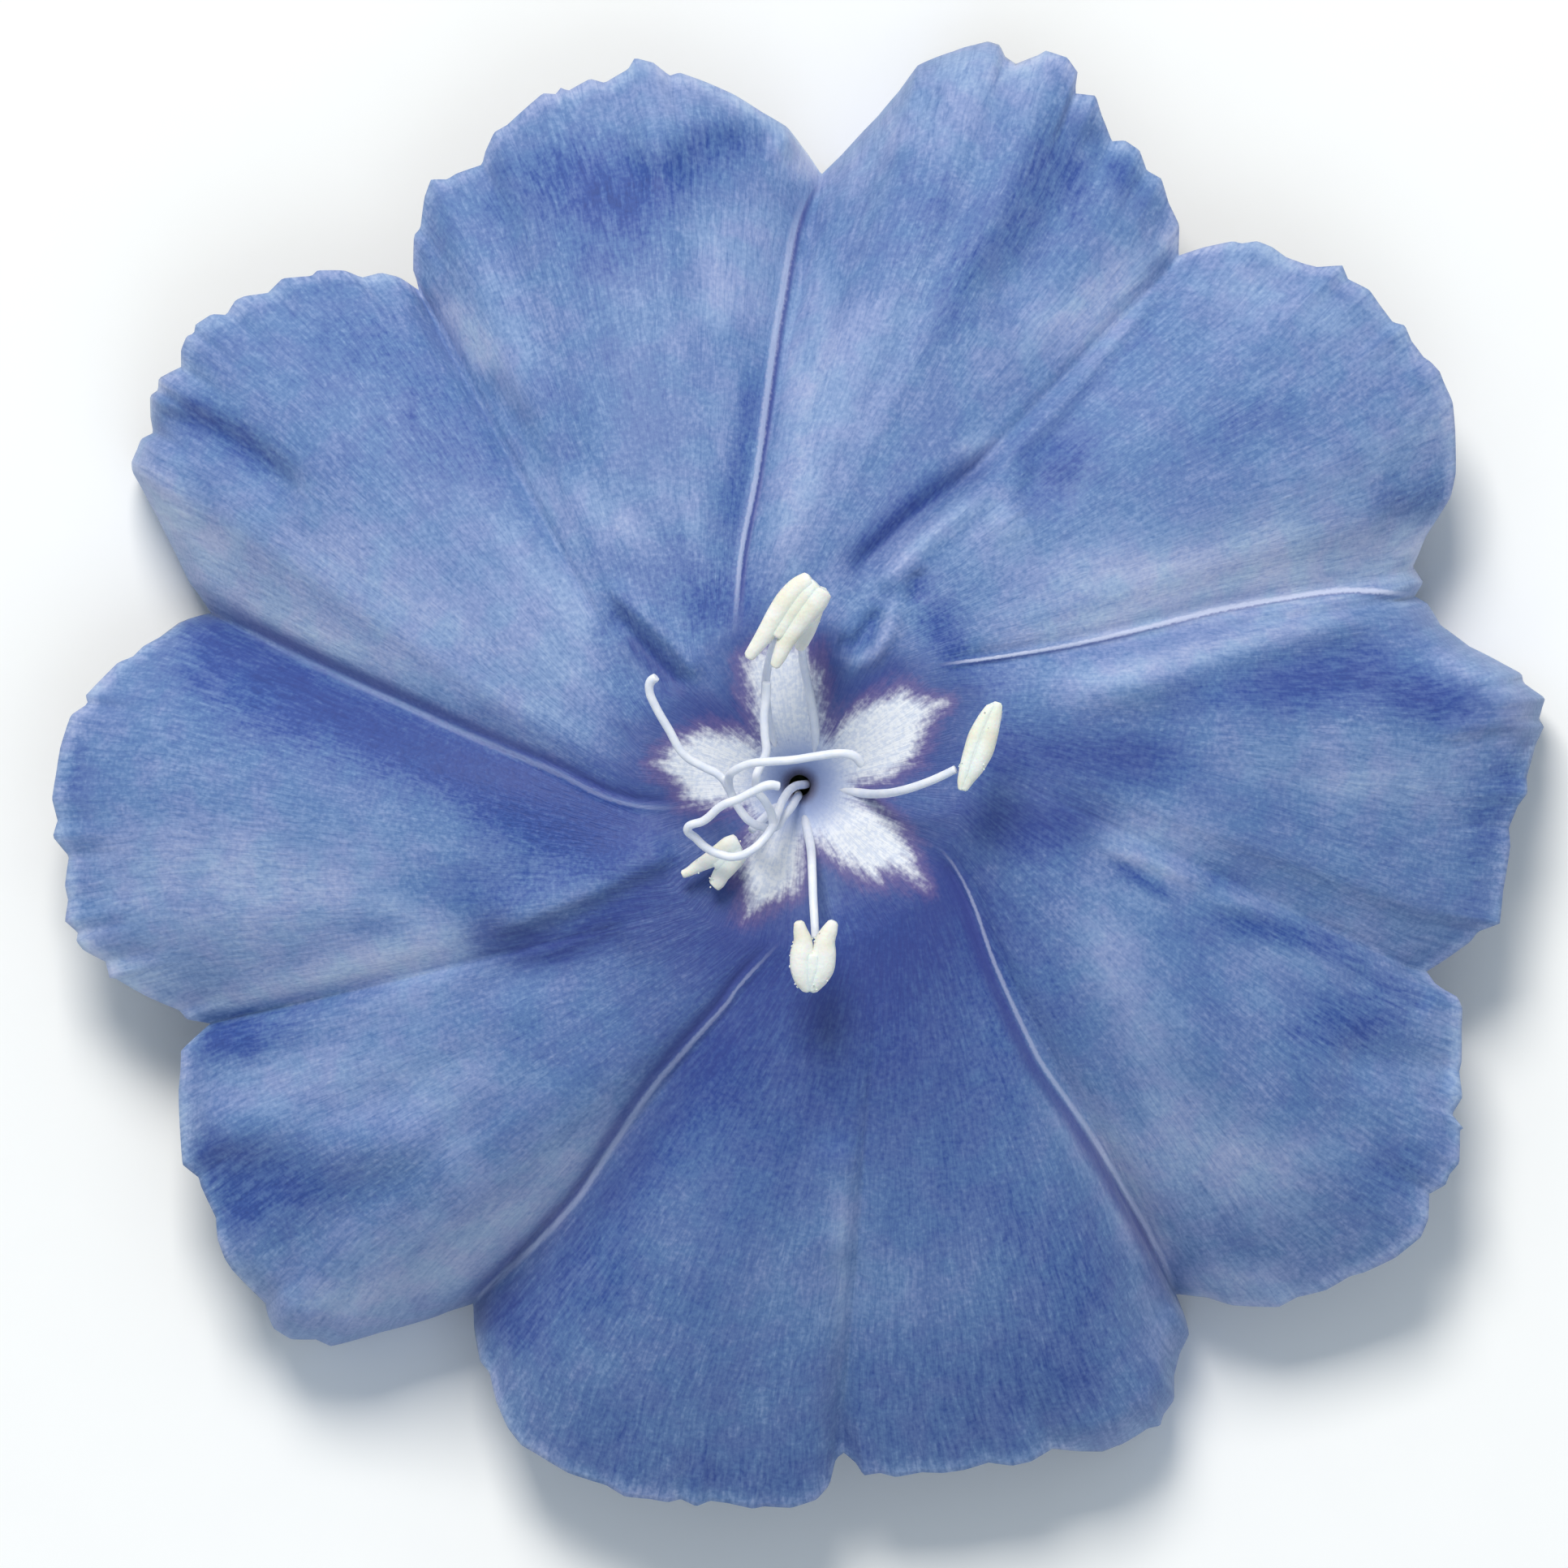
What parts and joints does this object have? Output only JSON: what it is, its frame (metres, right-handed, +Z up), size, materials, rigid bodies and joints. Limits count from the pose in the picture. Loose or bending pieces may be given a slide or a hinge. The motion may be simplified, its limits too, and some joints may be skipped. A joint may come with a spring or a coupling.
{
  "type": "dwarf morning glory flower",
  "caption": "Single open dwarf morning glory bloom in violet blue with a white starred throat, as picked, lying face up on the rolled margins of its petals.",
  "frame": {"origin": "on the surface that the bloom lies on, under the middle of its outline", "axes": "+Z up out of the bloom's face, +Y towards the top of the picture, +X to its right"},
  "size_m": [0.024, 0.0236, 0.008],
  "materials": {
    "petal": "matte",
    "green": "matte",
    "ovary": "satin",
    "filament_thread": "satin",
    "stigma_thread": "satin",
    "pollen_sac": "matte"
  },
  "bodies": {
    "root": {"corolla": "petal", "ovary": "ovary", "style_1": "stigma_thread", "style_2": "stigma_thread", "filament_1": "filament_thread", "filament_2": "filament_thread", "filament_3": "filament_thread", "filament_4": "filament_thread", "filament_5": "filament_thread", "anther_1": "pollen_sac", "anther_2": "pollen_sac", "anther_3": "pollen_sac", "anther_4": "pollen_sac", "anther_5": "pollen_sac", "sepal_1": "green", "sepal_2": "green", "sepal_3": "green", "sepal_4": "green", "sepal_5": "green", "stalk": "green"}
  },
  "joints": []
}
